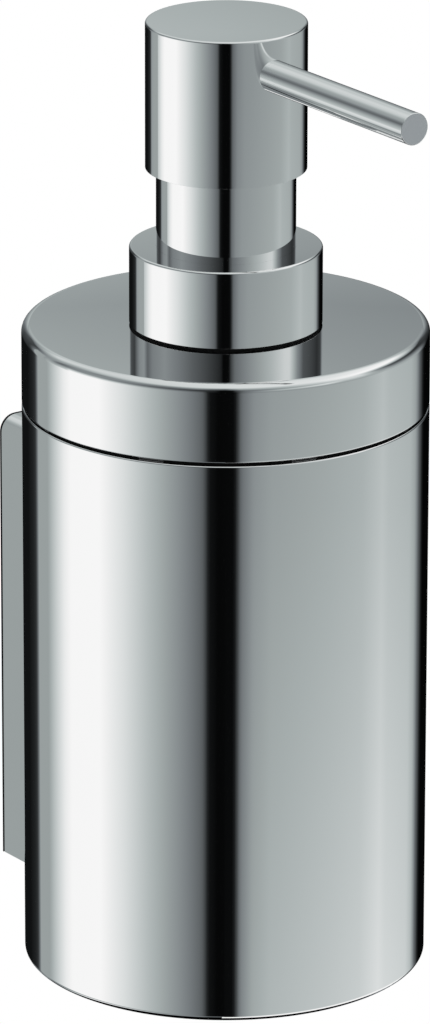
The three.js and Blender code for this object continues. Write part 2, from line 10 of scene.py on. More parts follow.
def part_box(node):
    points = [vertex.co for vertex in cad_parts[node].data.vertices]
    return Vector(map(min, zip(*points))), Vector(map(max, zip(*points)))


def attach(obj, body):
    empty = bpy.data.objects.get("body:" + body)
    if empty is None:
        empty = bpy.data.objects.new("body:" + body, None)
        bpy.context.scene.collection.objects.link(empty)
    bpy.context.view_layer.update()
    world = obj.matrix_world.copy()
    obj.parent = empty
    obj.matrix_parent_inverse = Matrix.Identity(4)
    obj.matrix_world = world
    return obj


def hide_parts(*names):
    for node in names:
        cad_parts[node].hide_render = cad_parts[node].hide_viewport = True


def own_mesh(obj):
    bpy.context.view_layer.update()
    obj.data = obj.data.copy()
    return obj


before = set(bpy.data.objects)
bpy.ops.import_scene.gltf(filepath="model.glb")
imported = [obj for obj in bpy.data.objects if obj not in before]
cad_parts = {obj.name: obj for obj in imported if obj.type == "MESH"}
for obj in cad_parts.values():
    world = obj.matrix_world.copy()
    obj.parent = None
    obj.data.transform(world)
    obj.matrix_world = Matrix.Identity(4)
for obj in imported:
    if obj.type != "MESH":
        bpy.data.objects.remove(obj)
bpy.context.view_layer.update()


# Wall plate and its grub screw: brushed stainless sheet, countersunk for two wall screws.
# The plate is punched and brushed upright; the screw comes up from below and locks the housing.
def new_group(name, inputs, outputs):
    """An empty node group with its sockets, and its input and output nodes."""
    tree = bpy.data.node_groups.new(name, "ShaderNodeTree")
    for label, kind, value in inputs:
        tree.interface.new_socket(label, in_out="INPUT", socket_type=kind).default_value = value
    for label, kind in outputs:
        tree.interface.new_socket(label, in_out="OUTPUT", socket_type=kind)
    return tree, tree.nodes.new("NodeGroupInput"), tree.nodes.new("NodeGroupOutput")


def wire(tree, node, inputs):
    """Gives a node's inputs their values, or wires them to other nodes' outputs."""
    for socket, value in inputs.items():
        if isinstance(value, bpy.types.NodeSocket):
            tree.links.new(value, node.inputs[socket])
        else:
            node.inputs[socket].default_value = value
    return node


def tone_and_polish(tree, given, tint, gloss):
    """A tone from Dark to Light that follows one pattern, and a roughness that follows another."""
    tone = tree.nodes.new("ShaderNodeMix")
    tone.data_type = "RGBA"
    wire(tree, tone, {"Factor": tint, "A": given.outputs["Dark"], "B": given.outputs["Light"]})
    polish = wire(tree, tree.nodes.new("ShaderNodeMapRange"), {
        "Value": gloss, "To Min": given.outputs["Smooth"], "To Max": given.outputs["Rough"]})
    return {"Colour": tone.outputs["Result"], "Roughness": polish.outputs["Result"]}


def brushed_lines():
    """Fine lines that the brushing belt leaves: a tone, a roughness and a normal."""
    line_detail = 4.0
    line_relief = 0.25
    line_depth = 0.00002
    tree, given, made = new_group(
        "brushed_lines",
        [("Line length", "NodeSocketFloat", 400.0), ("Line width", "NodeSocketFloat", 9000.0),
         ("Smooth", "NodeSocketFloat", 0.26), ("Rough", "NodeSocketFloat", 0.4),
         ("Dark", "NodeSocketColor", (0.3, 0.3, 0.3, 1)),
         ("Light", "NodeSocketColor", (0.4, 0.4, 0.4, 1))],
        [("Colour", "NodeSocketColor"), ("Roughness", "NodeSocketFloat"),
         ("Normal", "NodeSocketVector")])
    nodes = tree.nodes
    stretch = wire(tree, nodes.new("ShaderNodeCombineXYZ"), {
        "X": given.outputs["Line width"], "Y": given.outputs["Line width"],
        "Z": given.outputs["Line length"]})
    scaled = nodes.new("ShaderNodeVectorMath")
    scaled.operation = "MULTIPLY"
    wire(tree, scaled, {0: nodes.new("ShaderNodeTexCoord").outputs["Object"],
                        1: stretch.outputs["Vector"]})
    lines = wire(tree, nodes.new("ShaderNodeTexNoise"), {
        "Vector": scaled.outputs["Vector"], "Scale": 1.0, "Detail": line_detail}).outputs["Fac"]
    relief = wire(tree, nodes.new("ShaderNodeBump"), {
        "Strength": line_relief, "Distance": line_depth, "Height": lines})
    wire(tree, made, {**tone_and_polish(tree, given, lines, lines),
                      "Normal": relief.outputs["Normal"]})
    return tree


def new_material(name, values):
    """A material whose Principled shader, which every finish here starts from, has these values."""
    material = bpy.data.materials.new(name)
    material.use_nodes = True
    wire(material.node_tree, material.node_tree.nodes["Principled BSDF"], values)
    return material


def use_group(material, group, look, wires):
    """Places a shared effect in a material, sets its inputs and wires it to the shader."""
    tree = material.node_tree
    effect = tree.nodes.new("ShaderNodeGroup")
    effect.node_tree = group
    wire(tree, effect, look)
    for output, socket in wires.items():
        tree.links.new(effect.outputs[output], tree.nodes["Principled BSDF"].inputs[socket])


def refinish(material, *nodes):
    """Gives CAD pieces whose shape is right their real finish."""
    for node in nodes:
        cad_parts[node].material_slots[0].material = material


line_group = brushed_lines()
pattern_wires = {"Colour": "Base Color", "Roughness": "Roughness", "Normal": "Normal"}
steel = new_material("stainless_steel", {"Metallic": 1.0})
use_group(steel, line_group,
          {"Smooth": 0.24, "Rough": 0.4,
           "Dark": (0.50, 0.51, 0.52, 1), "Light": (0.66, 0.67, 0.68, 1)}, pattern_wires)
refinish(steel, "wall_plate", "bracket_lock_screw")


# Bracket housing: a hollow chrome block, open at the back, that slips over the wall plate.
# Cast zinc, polished and plated; its front is hollowed to the round body and two screws hold it there.
# Its back edge stops short of the wall by the thickness of the black edge ring.
sleeve_low, sleeve_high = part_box("outer_sleeve")
axis = Vector((0, (sleeve_low.y + sleeve_high.y) / 2, 0))
body_radius = (sleeve_high.x - sleeve_low.x) / 2
merge_distance = 1e-6
sharp_angle = math.radians(35)


def polish_haze():
    """The faint unevenness of a polished plating: a tint and a roughness that wander slowly."""
    haze_detail = 5.0
    tree, given, made = new_group(
        "polish_haze",
        [("Scale", "NodeSocketFloat", 60.0),
         ("Smooth", "NodeSocketFloat", 0.02), ("Rough", "NodeSocketFloat", 0.05),
         ("Dark", "NodeSocketColor", (0.9, 0.9, 0.9, 1)),
         ("Light", "NodeSocketColor", (0.95, 0.95, 0.95, 1))],
        [("Colour", "NodeSocketColor"), ("Roughness", "NodeSocketFloat")])
    drift = wire(tree, tree.nodes.new("ShaderNodeTexNoise"), {
        "Vector": tree.nodes.new("ShaderNodeTexCoord").outputs["Object"],
        "Scale": given.outputs["Scale"], "Detail": haze_detail}).outputs["Fac"]
    wire(tree, made, tone_and_polish(tree, given, drift, drift))
    return tree


haze_group = polish_haze()
haze_look = {"Smooth": 0.004, "Rough": 0.02,
             "Dark": (0.922, 0.922, 0.922, 1), "Light": (0.938, 0.938, 0.938, 1)}
polish_wires = {"Colour": "Base Color", "Roughness": "Roughness"}
chrome = new_material("polished_chrome", {"Metallic": 1.0})
use_group(chrome, haze_group, haze_look, polish_wires)


def piece_of(name, bm, material):
    """Makes the finished mesh an object at the origin, smooth except at its sharp edges."""
    bmesh.ops.remove_doubles(bm, verts=bm.verts, dist=merge_distance)
    bmesh.ops.recalc_face_normals(bm, faces=bm.faces)
    mesh = bpy.data.meshes.new(name)
    bm.to_mesh(mesh)
    bm.free()
    mesh.materials.append(material)
    mesh.shade_smooth()
    mesh.set_sharp_from_angle(angle=sharp_angle)
    piece = bpy.data.objects.new(name, mesh)
    bpy.context.scene.collection.objects.link(piece)
    true_walls = piece.modifiers.new("true walls", "WEIGHTED_NORMAL")
    true_walls.keep_sharp = True
    return piece


def carve(bm, *cutters):
    """Cuts closed cutter meshes out of a mesh, and gives the mesh back as a bmesh."""
    blank = bpy.data.objects.new("blank", bpy.data.meshes.new("blank"))
    bm.to_mesh(blank.data)
    bm.free()
    bpy.context.scene.collection.objects.link(blank)
    tools = []
    for cutter in cutters:
        tool = bpy.data.objects.new("tool", bpy.data.meshes.new("tool"))
        cutter.to_mesh(tool.data)
        cutter.free()
        bpy.context.scene.collection.objects.link(tool)
        cut = blank.modifiers.new("cut", "BOOLEAN")
        cut.operation = "DIFFERENCE"
        cut.solver = "EXACT"
        cut.object = tool
        tools.append(tool)
    bpy.context.view_layer.update()
    done = bmesh.new()
    done.from_object(blank, bpy.context.evaluated_depsgraph_get())
    for spent in (blank, *tools):
        bpy.data.objects.remove(spent)
    return done


def rod(radius, start, end, steps=48):
    """A closed round bar from one point to another."""
    run = end - start
    bm = bmesh.new()
    bmesh.ops.create_cone(bm, cap_ends=True, segments=steps,
                          radius1=radius, radius2=radius, depth=run.length)
    lean = Vector((0, 0, 1)).rotation_difference(run).to_matrix().to_4x4()
    bmesh.ops.transform(bm, matrix=Matrix.Translation((start + end) / 2) @ lean, verts=bm.verts)
    return bm


corner_steps = 10
edge_steps = 3


def board(low, high, corner, edge):
    """An upright block with its two top corners rounded and the rim at the wall eased."""
    bm = bmesh.new()
    spots = [bm.verts.new((x, high.y, z)) for x, z in
             ((low.x, low.z), (high.x, low.z), (high.x, high.z), (low.x, high.z))]
    bm.faces.new(spots)
    bmesh.ops.bevel(bm, geom=spots[2:], offset=corner, segments=corner_steps, profile=0.5,
                    affect="VERTICES", material=-1, clamp_overlap=False)
    rim = list(bm.edges)
    grown = bmesh.ops.extrude_face_region(bm, geom=list(bm.faces), use_keep_orig=True)
    moved = [v for v in grown["geom"] if isinstance(v, bmesh.types.BMVert)]
    bmesh.ops.translate(bm, verts=moved, vec=(0, low.y - high.y, 0))
    bmesh.ops.recalc_face_normals(bm, faces=bm.faces)
    if edge:
        bmesh.ops.bevel(bm, geom=rim, offset=edge, segments=edge_steps, profile=0.5,
                        affect="EDGES", material=-1)
    return bm


housing_low, housing_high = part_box("bracket_housing")
housing_corner = 0.003
housing_wall = 0.002
housing_front = 0.0022
housing_edge = 0.0003
saddle_gap = 0.0003
saddle_steps = 256
lock_hole_gap = 0.0002
overrun = 0.002
edge_ring_thickness = 0.0002
block = board(housing_low - Vector((0, overrun, 0)), housing_high - Vector((0, edge_ring_thickness, 0)),
              housing_corner, housing_edge)
cavity_front = axis.y + body_radius + saddle_gap + housing_front
cavity_low = housing_low + Vector((housing_wall, 0, housing_wall))
cavity_low.y = cavity_front
cavity = board(cavity_low, housing_high + Vector((-housing_wall, overrun, -housing_wall)),
               housing_corner - housing_wall, 0)
saddle = rod(body_radius + saddle_gap, axis + Vector((0, 0, housing_low.z - overrun)),
             axis + Vector((0, 0, housing_high.z + overrun)), saddle_steps)
lock_low, lock_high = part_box("bracket_lock_screw")
lock_middle = (lock_low + lock_high) / 2
lock_hole_radius = (lock_high.x - lock_low.x) / 2 + lock_hole_gap
lock_hole = rod(lock_hole_radius, Vector((0, lock_middle.y, housing_low.z - overrun)),
                Vector((0, lock_middle.y, 0)))
bracket_housing = piece_of("chrome_bracket_housing", carve(block, cavity, saddle, lock_hole), chrome)
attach(bracket_housing, "bracket")
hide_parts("bracket_housing")


# Outer sleeve: the round chrome body, a deep-drawn brass cup with a closed bottom.
# Its rim and its bottom edge are turned with a small rounding; two screws hold it to the bracket.
# Like the lid, it is kept out of the mirrors above it, so that the collar shows the studio alone.
rounding_steps = 8


def turned(section, steps=160):
    """A mesh spun about +Z from a closed section of (radius, level, rounding of that edge)."""
    bm = bmesh.new()
    spots = [bm.verts.new((radius, 0, level)) for radius, level, _ in section]
    runs = list(zip(spots, spots[1:]))
    if section[0][0] > 0:
        runs.append((spots[-1], spots[0]))
    lines = [bm.edges.new(run) for run in runs]
    bmesh.ops.spin(bm, geom=spots + lines, cent=(0, 0, 0), axis=(0, 0, 1),
                   angle=math.tau, steps=steps, use_merge=True)
    bmesh.ops.remove_doubles(bm, verts=bm.verts, dist=merge_distance)
    for radius, level, rounding in section:
        if rounding:
            rim = [edge for edge in bm.edges if all(
                abs(math.hypot(vert.co.x, vert.co.y) - radius) < merge_distance
                and abs(vert.co.z - level) < merge_distance for vert in edge.verts)]
            bmesh.ops.bevel(bm, geom=rim, offset=rounding, segments=rounding_steps, profile=0.5,
                            affect="EDGES", material=-1, clamp_overlap=True)
    return bm


def on_axis(bm):
    """Moves a turned mesh from the origin to the body's axis."""
    bmesh.ops.translate(bm, verts=bm.verts, vec=axis)
    return bm


metal_wall = 0.0012
rim_edge = 0.0003
bottom_edge = 0.001
floor_edge = 0.001
sleeve_inside = body_radius - metal_wall
pad_low, pad_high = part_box("base_pad")
outer_sleeve = piece_of("chrome_sleeve", on_axis(turned([
    (0, sleeve_low.z, 0),
    (body_radius, sleeve_low.z, bottom_edge),
    (body_radius, sleeve_high.z, rim_edge),
    (sleeve_inside, sleeve_high.z, rim_edge),
    (sleeve_inside, pad_low.z, floor_edge),
    (0, pad_low.z, 0),
])), chrome)
outer_sleeve.visible_glossy = False
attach(outer_sleeve, "bracket")
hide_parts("outer_sleeve")


# Wall edge ring: a thin black ring on the back edge of the bracket housing, which draws the dark line
# along that edge.
# It stands a hair proud of the chrome and meets the wall.
def mould_grain():
    """The grain of moulded rubber or plastic: a tone, a roughness and a normal from fine noise."""
    grain_detail = 3.0
    grain_depth = 0.00004
    cloud_scale = 90.0
    cloud_detail = 4.0
    tree, given, made = new_group(
        "mould_grain",
        [("Grain", "NodeSocketFloat", 3000.0), ("Depth", "NodeSocketFloat", 0.2),
         ("Smooth", "NodeSocketFloat", 0.4), ("Rough", "NodeSocketFloat", 0.5),
         ("Dark", "NodeSocketColor", (0.1, 0.1, 0.1, 1)),
         ("Light", "NodeSocketColor", (0.2, 0.2, 0.2, 1))],
        [("Colour", "NodeSocketColor"), ("Roughness", "NodeSocketFloat"),
         ("Normal", "NodeSocketVector")])
    nodes = tree.nodes
    place = nodes.new("ShaderNodeTexCoord").outputs["Object"]
    grain = wire(tree, nodes.new("ShaderNodeTexNoise"), {
        "Vector": place, "Scale": given.outputs["Grain"], "Detail": grain_detail}).outputs["Fac"]
    cloud = wire(tree, nodes.new("ShaderNodeTexNoise"), {
        "Vector": place, "Scale": cloud_scale, "Detail": cloud_detail}).outputs["Fac"]
    relief = wire(tree, nodes.new("ShaderNodeBump"), {
        "Strength": given.outputs["Depth"], "Distance": grain_depth, "Height": grain})
    wire(tree, made, {**tone_and_polish(tree, given, cloud, grain),
                      "Normal": relief.outputs["Normal"]})
    return tree


grain_group = mould_grain()
rubber = new_material("black_rubber", {"Specular IOR Level": 0.15})
use_group(rubber, grain_group,
          {"Grain": 5000.0, "Depth": 0.5, "Smooth": 0.6, "Rough": 0.85,
           "Dark": (0.003, 0.003, 0.003, 1), "Light": (0.006, 0.006, 0.0065, 1)}, pattern_wires)
edge_ring_proud = 0.00005
edge_ring_width = 0.0008
edge_ring_corner = housing_corner + edge_ring_proud
rim_low = housing_low - Vector((edge_ring_proud, 0, edge_ring_proud))
rim_high = housing_high + Vector((edge_ring_proud, 0, edge_ring_proud))
rim_low.y = housing_high.y - edge_ring_thickness
edge_ring_room = Vector((edge_ring_width, -overrun, edge_ring_width))
wall_edge_ring = piece_of("housing_wall_edge_ring", carve(
    board(rim_low, rim_high, edge_ring_corner, 0),
    board(rim_low + edge_ring_room, rim_high - edge_ring_room, edge_ring_corner - edge_ring_width, 0)), rubber)
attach(wall_edge_ring, "bracket")
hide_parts("bracket_housing")


# Base pad: a rubber disc glued to the sleeve's floor, so that the container doesn't rattle.
# Cut from sheet that keeps the fine grain of the cloth it was cured on.
pad_radius = (pad_high.x - pad_low.x) / 2
pad_edge = 0.0003
base_pad = piece_of("rubber_base_pad", on_axis(turned([
    (0, pad_low.z, 0),
    (pad_radius, pad_low.z, 0),
    (pad_radius, pad_high.z, pad_edge),
    (0, pad_high.z, 0),
])), rubber)
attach(base_pad, "bracket")
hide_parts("base_pad")


# Sleeve fasteners: two button-head screws from inside the sleeve, each with a washer shaped to the
# round wall and a hexagon nut in the housing. Bought stainless parts.
refinish(steel, "sleeve_screw_lower", "sleeve_washer_lower", "sleeve_nut_lower",
         "sleeve_screw_upper", "sleeve_washer_upper", "sleeve_nut_upper")


# Container cup: the vessel for the lotion, which lifts out of the sleeve to be filled.
# Injection-moulded natural polypropylene with a flange to lift it by; frosted, slightly see-through.
frosted = new_material("frosted_plastic", {"Transmission Weight": 0.35, "IOR": 1.49})
use_group(frosted, grain_group,
          {"Grain": 2600.0, "Depth": 0.3, "Smooth": 0.35, "Rough": 0.5,
           "Dark": (0.76, 0.80, 0.81, 1), "Light": (0.84, 0.87, 0.88, 1)}, pattern_wires)
cup_low, cup_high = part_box("container_cup")
cup_wall = 0.0015
cup_gap = 0.0038
cup_radius = sleeve_inside - cup_gap
cup_inside = cup_radius - cup_wall
flange_radius = (cup_high.x - cup_low.x) / 2
flange_root = 0.0005
flange_edge = 0.0003
mouth_edge = 0.0004
container_cup = piece_of("frosted_cup", on_axis(turned([
    (0, cup_low.z, 0),
    (cup_radius, cup_low.z, cup_wall),
    (cup_radius, cup_high.z - cup_wall, flange_root),
    (flange_radius, cup_high.z - cup_wall, flange_edge),
    (flange_radius, cup_high.z, flange_edge),
    (cup_inside, cup_high.z, mouth_edge),
    (cup_inside, cup_low.z + cup_wall, cup_wall),
    (0, cup_low.z + cup_wall, 0),
])), frosted)
container_cup.visible_glossy = False
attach(container_cup, "container")
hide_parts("container_cup")


# Lid liner: the plastic inner part of the lid, which stands on the sleeve's rim.
# Injection-moulded grey polypropylene, clamped with the lid on the pump's flange.
grey_plastic = new_material("grey_plastic", {})
use_group(grey_plastic, grain_group,
          {"Grain": 3500.0, "Depth": 0.25, "Smooth": 0.38, "Rough": 0.55,
           "Dark": (0.20, 0.21, 0.215, 1), "Light": (0.25, 0.26, 0.265, 1)}, pattern_wires)
liner_low, liner_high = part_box("lid_liner")
liner_gap = 0.0003
liner_radius = sleeve_inside - liner_gap
liner_wall = 0.0016
liner_inside = liner_radius - liner_wall
liner_edge = 0.0005
liner_inner_edge = 0.001
foot_inside = 0.0295
foot_height = 0.0015
foot_edge = 0.0002
foot_root = 0.0004
neck_hole = 0.01445
lid_liner = piece_of("lid_liner_moulding", on_axis(turned([
    (foot_inside, liner_low.z, foot_edge),
    (liner_radius, liner_low.z, 0),
    (liner_radius, liner_high.z, liner_edge),
    (neck_hole, liner_high.z, 0),
    (neck_hole, liner_high.z - liner_wall, 0),
    (liner_inside, liner_high.z - liner_wall, liner_inner_edge),
    (liner_inside, liner_low.z + foot_height, foot_root),
    (foot_inside, liner_low.z + foot_height, foot_edge),
])), grey_plastic)
lid_liner.visible_glossy = False
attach(lid_liner, "lid_unit")
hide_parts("lid_liner")


# Spacer tabs: eight blocks on the liner's rim, which keep the lid off the sleeve and show in the seam.
# Moulded with the liner, in its grey; the polished edges above and below mirror them.
lid_low, lid_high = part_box("lid")
band_thickness = 0.00015
band_outside = liner_radius + band_thickness
tab_depth = 0.0002
tab_proud = 0.00005
tab_root = liner_radius - tab_depth
tab_reach = band_outside + tab_proud
tab_count = 8
tab_steps = 6
tab_angle = math.radians(7.6)
tab_turn = math.radians(-12.3)
tab_foot_gap = 0.00003
tab_head_gap = 0.0001
skirt_drop = 0.00013
seam_top = lid_low.z - skirt_drop


def spacer_tab(bm, middle):
    """One block on the liner's rim, as wide as its angle, between the sleeve and the lid."""
    first = middle - tab_angle / 2
    foot, head = liner_low.z + tab_foot_gap, seam_top - tab_head_gap
    section = ((tab_root, foot), (tab_reach, foot), (tab_reach, head), (tab_root, head))
    spots = [bm.verts.new((radius * math.cos(first), radius * math.sin(first), level))
             for radius, level in section]
    lines = [bm.edges.new(run) for run in zip(spots, spots[1:] + spots[:1])]
    spun = bmesh.ops.spin(bm, geom=spots + lines, cent=(0, 0, 0), axis=(0, 0, 1),
                          angle=tab_angle, steps=tab_steps)
    ends = lines + [edge for edge in spun["geom_last"] if isinstance(edge, bmesh.types.BMEdge)]
    bmesh.ops.holes_fill(bm, edges=ends, sides=4)


tabs = bmesh.new()
for i in range(tab_count):
    spacer_tab(tabs, -math.pi / 2 + tab_turn + i * math.tau / tab_count)
spacer_tabs = piece_of("lid_liner_tabs", on_axis(tabs), grey_plastic)
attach(spacer_tabs, "lid_unit")
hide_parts("lid_liner")


# Seam band: painted shade, a black band on the liner's wall between the tabs, which stands in for the
# shadow in the seam and makes it a dark line; a thin lip of the same painted shade under the lid's edge
# keeps that edge from shining at a slant.
band_depth = 0.0001
band_hang = 0.0004
band_inside = liner_radius - band_depth
band_low = liner_low.z - band_hang
lip_setback = 0.0002
lip_thickness = 0.00003
lip_reach = body_radius - lip_setback
lip_low = seam_top - lip_thickness
seam_shade_band = piece_of("lid_liner_shade_band", on_axis(turned([
    (band_inside, band_low, 0),
    (band_outside, band_low, 0),
    (band_outside, lip_low, 0),
    (lip_reach, lip_low, 0),
    (lip_reach, seam_top, 0),
    (band_inside, seam_top, 0),
])), rubber)
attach(seam_shade_band, "lid_unit")
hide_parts("lid_liner")


# Lid seal: a rubber ring under the liner's foot, which closes the cup.
# Moulded black, pressed in by hand, and hidden while the lid is on.
seal_low, seal_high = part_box("lid_seal")
seal_radius = (seal_high.x - seal_low.x) / 2
seal_edge = 0.0001
lid_seal = piece_of("lid_seal_ring", on_axis(turned([
    (foot_inside, seal_low.z, seal_edge),
    (seal_radius, seal_low.z, seal_edge),
    (seal_radius, seal_high.z, 0),
    (foot_inside, seal_high.z, 0),
])), rubber)
lid_seal.visible_glossy = False
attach(lid_seal, "lid_unit")
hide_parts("lid_seal")


# Lid: the chrome cap on the body, with a rounded top edge.
# Drawn brass, polished and plated, clamped between the pump's flange and the collar.
lid_edge = 0.0015
skirt_height = 0.00028
skirt_lean = 0.000012
skirt_edge = 0.0001
lid = piece_of("chrome_lid", on_axis(turned([
    (sleeve_inside, seam_top, skirt_edge),
    (body_radius - skirt_lean, seam_top, skirt_edge),
    (body_radius, seam_top + skirt_height, 0),
    (body_radius, lid_high.z, lid_edge),
    (neck_hole, lid_high.z, 0),
    (neck_hole, liner_high.z, 0),
    (sleeve_inside, liner_high.z, 0),
])), chrome)
lid.visible_glossy = False
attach(lid, "lid_unit")
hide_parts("lid")


# Pump housing: flange, neck, cylinder and tube socket in one white moulding under the lid.
# Polypropylene; the collar screws on its neck and clamps the lid and the liner on its flange.
white_plastic = new_material("white_plastic", {})
white_look = {"Grain": 3500.0, "Depth": 0.2, "Smooth": 0.32, "Rough": 0.48,
              "Dark": (0.74, 0.75, 0.75, 1), "Light": (0.8, 0.81, 0.81, 1)}
use_group(white_plastic, grain_group, white_look, pattern_wires)
pump_low, pump_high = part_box("pump_housing")
cage_low, cage_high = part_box("ball_cage")
neck_radius = 0.0142
neck_inside = 0.0124
flange_thickness = 0.0025
floor_drop = 0.0003
cylinder_radius = 0.0075
cylinder_inside = 0.0063
cylinder_rise = 0.0037
ball_room_radius = 0.0032
ball_room_height = 0.004
throat_radius = 0.0013
throat_length = 0.0015
socket_inside = 0.0032
socket_outside = 0.0045
flange_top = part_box("pump_gasket")[0].z
pump_floor = flange_top - floor_drop
cone_top = cage_low.z - ball_room_height
cone_bottom = cone_top - (ball_room_radius - throat_radius)
socket_top = cone_bottom - throat_length
pump_radius = (pump_high.x - pump_low.x) / 2
pump_steps = 96
flange_foot_edge = 0.0004
pump_top_edge = 0.0002
pump_rim_edge = 0.0003
cylinder_edge = 0.0006
pump_housing = piece_of("pump_moulding", on_axis(turned([
    (pump_radius, flange_top - flange_thickness, flange_foot_edge),
    (pump_radius, flange_top, pump_top_edge),
    (neck_radius, flange_top, 0),
    (neck_radius, pump_high.z, pump_rim_edge),
    (neck_inside, pump_high.z, pump_rim_edge),
    (neck_inside, pump_floor, 0),
    (cylinder_radius, pump_floor, 0),
    (cylinder_radius, pump_floor + cylinder_rise, pump_top_edge),
    (cylinder_inside, pump_floor + cylinder_rise, pump_top_edge),
    (cylinder_inside, cage_low.z, 0),
    (ball_room_radius, cage_low.z, 0),
    (ball_room_radius, cone_top, 0),
    (throat_radius, cone_bottom, 0),
    (throat_radius, socket_top, 0),
    (socket_inside, socket_top, 0),
    (socket_inside, pump_low.z, pump_rim_edge),
    (socket_outside, pump_low.z, pump_rim_edge),
    (socket_outside, cone_bottom, 0),
    (cylinder_radius, cone_bottom + cylinder_radius - socket_outside, cylinder_edge),
    (cylinder_radius, flange_top - flange_thickness, cylinder_edge),
], pump_steps)), white_plastic)
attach(pump_housing, "lid_unit")
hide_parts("pump_housing")


# Small parts inside the pump and the head: the pump's cap and piston, two valve balls and their cage,
# and the seals round flange, stem and spout. White and grey mouldings, stainless steel, black rubber.
refinish(white_plastic, "pump_cap", "ball_cage")
refinish(grey_plastic, "piston")
refinish(rubber, "pump_gasket", "stem_seal", "spout_o_ring")
refinish(steel, "inlet_ball", "outlet_ball")


# Return spring: nine turns of round stainless wire between the cage and the piston.
# Wound cold; it shortens towards the cage as the head is pressed.
spring_low, spring_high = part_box("return_spring")
wire_radius = 0.00045
wire_sides = 12
spring_turns = 9
steps_in_a_turn = 32
bm = bmesh.new()
ring = bmesh.ops.create_circle(bm, cap_ends=False, segments=wire_sides, radius=wire_radius)["verts"]
bmesh.ops.rotate(bm, verts=ring, cent=(0, 0, 0), matrix=Matrix.Rotation(math.pi / 2, 3, "X"))
bmesh.ops.translate(bm, verts=ring, vec=(spring_high.x - wire_radius, 0, spring_low.z + wire_radius))
wire_ends = list(bm.edges)
spring_steps = spring_turns * steps_in_a_turn
rise = (spring_high.z - spring_low.z - 2 * wire_radius) / spring_steps
wound = bmesh.ops.spin(bm, geom=[*ring, *wire_ends], cent=(0, 0, 0), axis=(0, 0, 1), dvec=(0, 0, rise),
                       angle=spring_turns * math.tau, steps=spring_steps)
wire_ends += [edge for edge in wound["geom_last"] if isinstance(edge, bmesh.types.BMEdge)]
bmesh.ops.holes_fill(bm, edges=wire_ends, sides=wire_sides)
return_spring = piece_of("wound_return_spring", on_axis(bm), steel)
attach(return_spring, "lid_unit")
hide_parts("return_spring")
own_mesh(return_spring)


# Dip tube: an extruded tube pushed into the pump's socket, cut at a slant just above the cup's floor.
# The same natural polypropylene as the cup.
tube_low, tube_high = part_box("dip_tube")
tube_radius = (tube_high.x - tube_low.x) / 2
tube_wall = 0.0009
tube_bore = tube_radius - tube_wall
tube_edge = 0.0001
tube_steps = 64
tube = turned([
    (tube_bore, tube_low.z, 0),
    (tube_radius, tube_low.z, 0),
    (tube_radius, tube_high.z, tube_edge),
    (tube_bore, tube_high.z, 0),
], tube_steps)
slanted = bmesh.ops.bisect_plane(tube, geom=tube.verts[:] + tube.edges[:] + tube.faces[:],
                                 plane_co=(0, 0, tube_low.z + tube_radius), plane_no=(0, 1, -1),
                                 clear_outer=True)
slant_edges = [edge for edge in slanted["geom_cut"] if isinstance(edge, bmesh.types.BMEdge)]
bmesh.ops.bridge_loops(tube, edges=slant_edges)
dip_tube = piece_of("dip_tube_extrusion", on_axis(tube), frosted)
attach(dip_tube, "lid_unit")
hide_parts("dip_tube")


# Collar: a chrome ring screwed down on the pump's neck, which clamps the lid.
# Turned from brass bar, polished and plated, bored for the guide sleeve.
collar_low, collar_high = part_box("collar")
collar_radius = (collar_high.x - collar_low.x) / 2
collar_top_wall = 0.002
collar_foot_edge = 0.00003
small_edge = 0.0004
guide_low, guide_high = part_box("guide_sleeve")
guide_radius = (guide_high.x - guide_low.x) / 2
guide_slack = 0.00001
guide_fit = guide_radius + guide_slack
collar = piece_of("chrome_collar", on_axis(turned([
    (neck_hole, collar_low.z, 0),
    (collar_radius, collar_low.z, collar_foot_edge),
    (collar_radius, collar_high.z, small_edge),
    (guide_fit, collar_high.z, 0),
    (guide_fit, collar_high.z - collar_top_wall, 0),
    (neck_hole, collar_high.z - collar_top_wall, 0),
])), chrome)
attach(collar, "lid_unit")
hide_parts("collar")


# Collar gasket: a thin black ring between collar and lid, which shows as a line.
# Stamped from rubber sheet and held by the collar's pressure.
gasket_ring_low, gasket_ring_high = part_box("collar_gasket")
gasket_ring_radius = (gasket_ring_high.x - gasket_ring_low.x) / 2
collar_gasket = piece_of("collar_gasket_ring", on_axis(turned([
    (neck_hole, gasket_ring_low.z, 0),
    (gasket_ring_radius, gasket_ring_low.z, 0),
    (gasket_ring_radius, gasket_ring_high.z, 0),
    (neck_hole, gasket_ring_high.z, 0),
])), rubber)
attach(collar_gasket, "lid_unit")
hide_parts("collar_gasket")


# Guide sleeve: the narrow chrome tube under the head, which slides in the collar's bore.
# Drawn brass tube, polished and plated, pressed on the head's core. Above the head's lower rim, flat
# mirror rays pass through it and the head, so that the spout mirrors the studio right up to its root.
def math_node(tree, operation, *values):
    """A math node on values or on other nodes' outputs."""
    node = tree.nodes.new("ShaderNodeMath")
    node.operation = operation
    return wire(tree, node, dict(enumerate(values))).outputs["Value"]


def clear_in_mirrors(material, level, steepest):
    """Lets mirror images look through a piece above a level, but not steeply down."""
    tree = material.node_tree
    nodes = tree.nodes
    place = wire(tree, nodes.new("ShaderNodeSeparateXYZ"), {
        "Vector": nodes.new("ShaderNodeTexCoord").outputs["Object"]})
    arriving = wire(tree, nodes.new("ShaderNodeSeparateXYZ"), {
        "Vector": nodes.new("ShaderNodeNewGeometry").outputs["Incoming"]})
    high_and_flat = math_node(tree, "MULTIPLY",
                              math_node(tree, "GREATER_THAN", place.outputs["Z"], level),
                              math_node(tree, "LESS_THAN", arriving.outputs["Z"], steepest))
    share = math_node(tree, "MULTIPLY", high_and_flat,
                      nodes.new("ShaderNodeLightPath").outputs["Is Glossy Ray"])
    choice = wire(tree, nodes.new("ShaderNodeMixShader"), {
        "Fac": share, 1: nodes["Principled BSDF"].outputs["BSDF"],
        2: nodes.new("ShaderNodeBsdfTransparent").outputs["BSDF"]})
    tree.links.new(choice.outputs["Shader"], nodes["Material Output"].inputs["Surface"])


